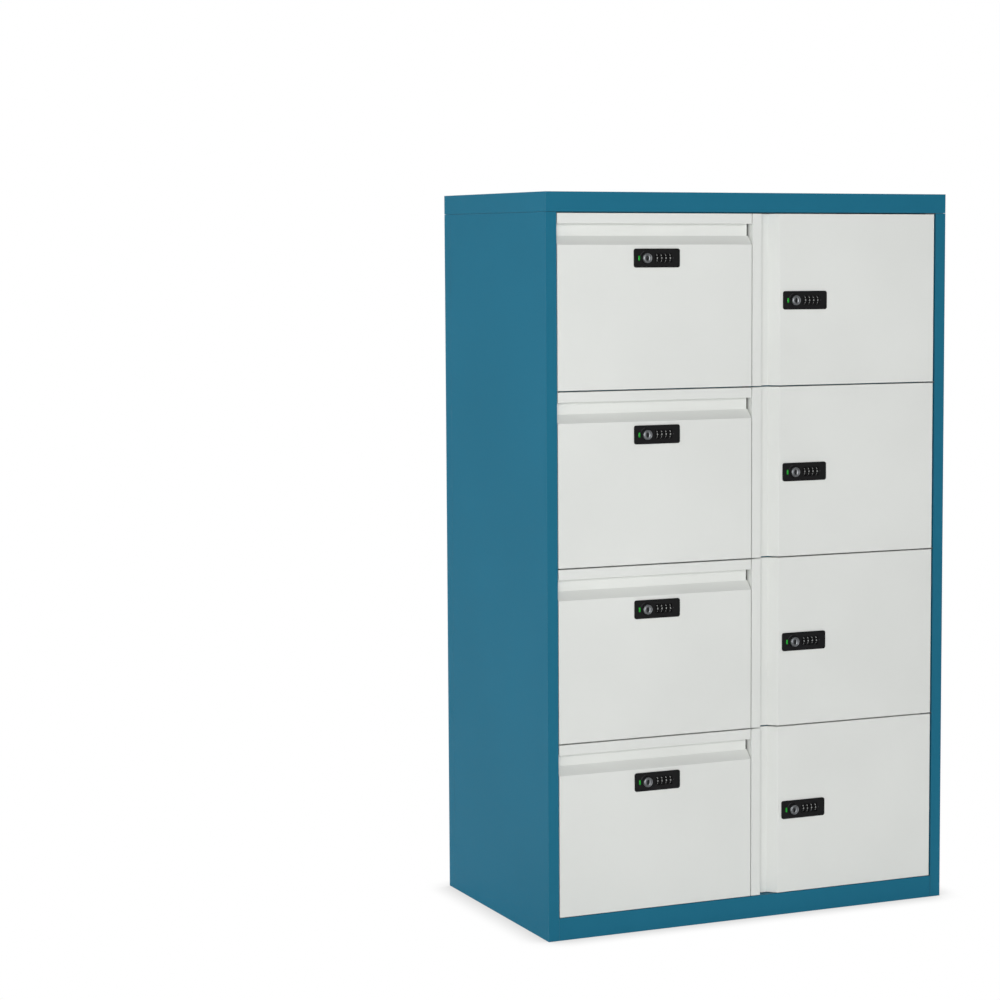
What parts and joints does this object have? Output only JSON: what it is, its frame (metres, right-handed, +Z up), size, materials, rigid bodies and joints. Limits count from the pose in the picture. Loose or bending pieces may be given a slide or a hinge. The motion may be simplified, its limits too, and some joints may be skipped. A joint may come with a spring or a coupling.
{
  "type": "phone charging locker cabinet",
  "caption": "Free-standing steel charging cabinet with a column of lockable drawers beside a column of lockable hinged doors, each with a combination and key lock.",
  "frame": {"origin": "on the floor under the middle of the cabinet, half-way across its width and half-way between the front face and the back panel", "axes": "+Z up, the drawers and doors face -Y, +X to the right as seen from the front"},
  "size_m": [0.8, 0.4823, 1.31],
  "materials": {
    "case_paint": "satin powder coat",
    "front_paint": "satin powder coat",
    "drawer_steel": "satin powder coat",
    "zinc_steel": "zinc plated",
    "runner_steel": "zinc plated",
    "lock_plastic": "fine texture",
    "dial_plastic": "satin",
    "lock_metal": "satin nickel",
    "socket_plastic": "satin",
    "supply_plastic": "fine texture",
    "cable_rubber": "matt",
    "screw_steel": "bright zinc"
  },
  "bodies": {
    "cabinet": {"left_side_panel": "case_paint", "right_side_panel": "case_paint", "back_panel": "case_paint", "top_cap": "case_paint", "base_tray": "case_paint", "centre_partition": "case_paint", "drawer_frame": "case_paint", "outer_runners": "zinc_steel", "compartment_shelves": "case_paint", "service_panel": "case_paint", "hinge_plates": "zinc_steel", "door_strikes": "zinc_steel", "charging_sockets": "socket_plastic", "power_supply": "supply_plastic", "wiring_loom": "cable_rubber", "socket_screws": "screw_steel"},
    "drawer_1": {"drawer_front_1": "front_paint", "drawer_box_1": "drawer_steel", "inner_runners_1": "zinc_steel", "drawer_lock_case_1": "lock_plastic"},
    "drawer_1_runners": {"middle_runners_1": "runner_steel"},
    "drawer_1_key": {"drawer_lock_core_1": "lock_metal"},
    "drawer_1_dials": {"drawer_dials_1": "dial_plastic"},
    "drawer_2": {"drawer_front_2": "front_paint", "drawer_box_2": "drawer_steel", "inner_runners_2": "zinc_steel", "drawer_lock_case_2": "lock_plastic"},
    "drawer_2_runners": {"middle_runners_2": "runner_steel"},
    "drawer_2_key": {"drawer_lock_core_2": "lock_metal"},
    "drawer_2_dials": {"drawer_dials_2": "dial_plastic"},
    "drawer_3": {"drawer_front_3": "front_paint", "drawer_box_3": "drawer_steel", "inner_runners_3": "zinc_steel", "drawer_lock_case_3": "lock_plastic"},
    "drawer_3_runners": {"middle_runners_3": "runner_steel"},
    "drawer_3_key": {"drawer_lock_core_3": "lock_metal"},
    "drawer_3_dials": {"drawer_dials_3": "dial_plastic"},
    "drawer_4": {"drawer_front_4": "front_paint", "drawer_box_4": "drawer_steel", "inner_runners_4": "zinc_steel", "drawer_lock_case_4": "lock_plastic"},
    "drawer_4_runners": {"middle_runners_4": "runner_steel"},
    "drawer_4_key": {"drawer_lock_core_4": "lock_metal"},
    "drawer_4_dials": {"drawer_dials_4": "dial_plastic"},
    "door_1": {"door_panel_1": "front_paint", "door_lock_case_1": "lock_plastic"},
    "door_1_key": {"door_lock_core_1": "lock_metal"},
    "door_1_dials": {"door_dials_1": "dial_plastic"},
    "door_2": {"door_panel_2": "front_paint", "door_lock_case_2": "lock_plastic"},
    "door_2_key": {"door_lock_core_2": "lock_metal"},
    "door_2_dials": {"door_dials_2": "dial_plastic"},
    "door_3": {"door_panel_3": "front_paint", "door_lock_case_3": "lock_plastic"},
    "door_3_key": {"door_lock_core_3": "lock_metal"},
    "door_3_dials": {"door_dials_3": "dial_plastic"},
    "door_4": {"door_panel_4": "front_paint", "door_lock_case_4": "lock_plastic"},
    "door_4_key": {"door_lock_core_4": "lock_metal"},
    "door_4_dials": {"door_dials_4": "dial_plastic"}
  },
  "joints": [
    {"name": "drawer_1_slide", "type": "slide", "parent": "cabinet", "child": "drawer_1", "axis": [0, -1, 0], "range_m": [0, 0.38]},
    {"name": "drawer_2_slide", "type": "slide", "parent": "cabinet", "child": "drawer_2", "axis": [0, -1, 0], "range_m": [0, 0.38]},
    {"name": "drawer_3_slide", "type": "slide", "parent": "cabinet", "child": "drawer_3", "axis": [0, -1, 0], "range_m": [0, 0.38]},
    {"name": "drawer_4_slide", "type": "slide", "parent": "cabinet", "child": "drawer_4", "axis": [0, -1, 0], "range_m": [0, 0.38]},
    {"name": "door_1_hinge", "type": "hinge", "parent": "cabinet", "child": "door_1", "pos_m": [0.3647, -0.232, 1.12019], "axis": [0, 0, 1], "range_deg": [0, 110]},
    {"name": "door_2_hinge", "type": "hinge", "parent": "cabinet", "child": "door_2", "pos_m": [0.3647, -0.232, 0.81156], "axis": [0, 0, 1], "range_deg": [0, 110]},
    {"name": "door_3_hinge", "type": "hinge", "parent": "cabinet", "child": "door_3", "pos_m": [0.3647, -0.232, 0.50294], "axis": [0, 0, 1], "range_deg": [0, 110]},
    {"name": "door_4_hinge", "type": "hinge", "parent": "cabinet", "child": "door_4", "pos_m": [0.3647, -0.232, 0.19431], "axis": [0, 0, 1], "range_deg": [0, 110]},
    {"name": "drawer_1_runner_slide", "type": "slide", "parent": "cabinet", "child": "drawer_1_runners", "axis": [0, -1, 0], "range_m": [0, 0.19]},
    {"name": "drawer_2_runner_slide", "type": "slide", "parent": "cabinet", "child": "drawer_2_runners", "axis": [0, -1, 0], "range_m": [0, 0.19]},
    {"name": "drawer_3_runner_slide", "type": "slide", "parent": "cabinet", "child": "drawer_3_runners", "axis": [0, -1, 0], "range_m": [0, 0.19]},
    {"name": "drawer_4_runner_slide", "type": "slide", "parent": "cabinet", "child": "drawer_4_runners", "axis": [0, -1, 0], "range_m": [0, 0.19]},
    {"name": "drawer_1_key_turn", "type": "hinge", "parent": "drawer_1", "child": "drawer_1_key", "pos_m": [-0.20985, -0.2375, 1.19545], "axis": [0, 1, 0], "range_deg": [0, 90]},
    {"name": "drawer_2_key_turn", "type": "hinge", "parent": "drawer_2", "child": "drawer_2_key", "pos_m": [-0.20985, -0.2375, 0.88683], "axis": [0, 1, 0], "range_deg": [0, 90]},
    {"name": "drawer_3_key_turn", "type": "hinge", "parent": "drawer_3", "child": "drawer_3_key", "pos_m": [-0.20985, -0.2375, 0.5782], "axis": [0, 1, 0], "range_deg": [0, 90]},
    {"name": "drawer_4_key_turn", "type": "hinge", "parent": "drawer_4", "child": "drawer_4_key", "pos_m": [-0.20985, -0.2375, 0.26958], "axis": [0, 1, 0], "range_deg": [0, 90]},
    {"name": "door_1_key_turn", "type": "hinge", "parent": "door_1", "child": "door_1_key", "pos_m": [0.0854, -0.2375, 1.11919], "axis": [0, 1, 0], "range_deg": [0, 90]},
    {"name": "door_2_key_turn", "type": "hinge", "parent": "door_2", "child": "door_2_key", "pos_m": [0.0854, -0.2375, 0.81056], "axis": [0, 1, 0], "range_deg": [0, 90]},
    {"name": "door_3_key_turn", "type": "hinge", "parent": "door_3", "child": "door_3_key", "pos_m": [0.0854, -0.2375, 0.50194], "axis": [0, 1, 0], "range_deg": [0, 90]},
    {"name": "door_4_key_turn", "type": "hinge", "parent": "door_4", "child": "door_4_key", "pos_m": [0.0854, -0.2375, 0.19331], "axis": [0, 1, 0], "range_deg": [0, 90]},
    {"name": "drawer_1_dials_turn", "type": "hinge", "parent": "drawer_1", "child": "drawer_1_dials", "pos_m": [-0.17675, -0.233, 1.19545], "axis": [1, 0, 0], "continuous": true},
    {"name": "drawer_2_dials_turn", "type": "hinge", "parent": "drawer_2", "child": "drawer_2_dials", "pos_m": [-0.17675, -0.233, 0.88683], "axis": [1, 0, 0], "continuous": true},
    {"name": "drawer_3_dials_turn", "type": "hinge", "parent": "drawer_3", "child": "drawer_3_dials", "pos_m": [-0.17675, -0.233, 0.5782], "axis": [1, 0, 0], "continuous": true},
    {"name": "drawer_4_dials_turn", "type": "hinge", "parent": "drawer_4", "child": "drawer_4_dials", "pos_m": [-0.17675, -0.233, 0.26958], "axis": [1, 0, 0], "continuous": true},
    {"name": "door_1_dials_turn", "type": "hinge", "parent": "door_1", "child": "door_1_dials", "pos_m": [0.1185, -0.233, 1.11919], "axis": [1, 0, 0], "continuous": true},
    {"name": "door_2_dials_turn", "type": "hinge", "parent": "door_2", "child": "door_2_dials", "pos_m": [0.1185, -0.233, 0.81056], "axis": [1, 0, 0], "continuous": true},
    {"name": "door_3_dials_turn", "type": "hinge", "parent": "door_3", "child": "door_3_dials", "pos_m": [0.1185, -0.233, 0.50194], "axis": [1, 0, 0], "continuous": true},
    {"name": "door_4_dials_turn", "type": "hinge", "parent": "door_4", "child": "door_4_dials", "pos_m": [0.1185, -0.233, 0.19331], "axis": [1, 0, 0], "continuous": true}
  ],
  "couplings": [
    {"joint": "drawer_1_runner_slide", "follows": "drawer_1_slide", "ratio": 0.5},
    {"joint": "drawer_2_runner_slide", "follows": "drawer_2_slide", "ratio": 0.5},
    {"joint": "drawer_3_runner_slide", "follows": "drawer_3_slide", "ratio": 0.5},
    {"joint": "drawer_4_runner_slide", "follows": "drawer_4_slide", "ratio": 0.5}
  ]
}
